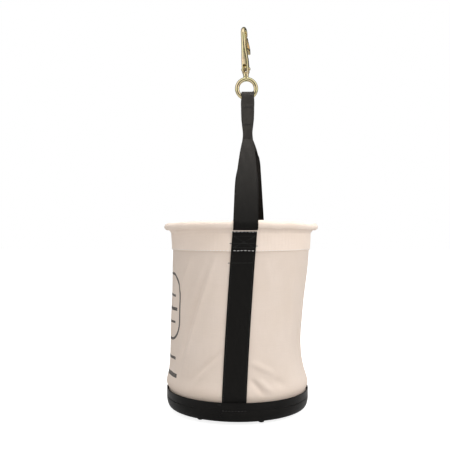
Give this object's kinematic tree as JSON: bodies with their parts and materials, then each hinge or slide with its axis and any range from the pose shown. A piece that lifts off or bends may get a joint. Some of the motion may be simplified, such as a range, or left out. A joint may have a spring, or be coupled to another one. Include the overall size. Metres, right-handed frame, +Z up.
{
  "type": "canvas tool bucket",
  "caption": "Round canvas tool bucket with a hooped rim, a moulded pan on studs, and a webbing handle ending in a swivel snap hook.",
  "frame": {"origin": "on the ground, under the middle of the rim", "axes": "+Z up along the bucket, -Y towards the web that faces the user, +X to that user's right"},
  "size_m": [0.3317, 0.335, 0.8253],
  "materials": {
    "canvas": "natural off-white duck canvas, plain weave",
    "hoop_plastic": "natural plastic rod",
    "moulded_plastic": "black moulded plastic, satin",
    "stud_rubber": "black rubber, matt",
    "webbing": "black heavy woven webbing",
    "yellow_zinc": "yellow zinc plate over forged steel",
    "spring_steel": "bright spring wire"
  },
  "bodies": {
    "bucket": {"canvas_wall": "canvas", "rim_sleeve": "canvas", "rim_hoop": "hoop_plastic", "base_pan": "moulded_plastic", "foot_1": "stud_rubber", "foot_2": "stud_rubber", "foot_3": "stud_rubber", "foot_4": "stud_rubber", "foot_5": "stud_rubber", "foot_6": "stud_rubber", "web_front": "webbing", "web_back": "webbing"},
    "handle": {"strand_front": "webbing", "strand_back": "webbing"},
    "grip": {"grip_loop": "webbing"},
    "eye": {"swivel_eye": "yellow_zinc"},
    "hook": {"hook_body": "yellow_zinc", "swivel_washer": "yellow_zinc", "gate_rivet": "yellow_zinc", "gate_spring": "spring_steel"},
    "gate": {"gate": "yellow_zinc"}
  },
  "joints": [
    {"name": "handle_swing", "type": "hinge", "parent": "bucket", "child": "handle", "pos_m": [0.02055, -0.00191, 0.40148], "axis": [0.0924, 0.9957, -0.0008], "range_deg": [-45, 45]},
    {"name": "grip_bend", "type": "hinge", "parent": "handle", "child": "grip", "pos_m": [0.0148, 0, 0.58025], "axis": [1, 0, 0], "range_deg": [-50, 50]},
    {"name": "eye_swing", "type": "hinge", "parent": "grip", "child": "eye", "pos_m": [0.0132, 0, 0.67], "axis": [0.9989, 0, 0.0471], "range_deg": [-80, 80]},
    {"name": "hook_swivel", "type": "hinge", "parent": "eye", "child": "hook", "pos_m": [0.0132, 0, 0.67], "axis": [-0.0471, 0, 0.9989], "continuous": true},
    {"name": "gate_open", "type": "hinge", "parent": "hook", "child": "gate", "pos_m": [0.01072, 0.00143, 0.73245], "axis": [0.95, -0.309, 0.0448], "range_deg": [0, 8], "stiffness_Nm_per_rad": 0.4, "springref_deg": -6.88}
  ]
}
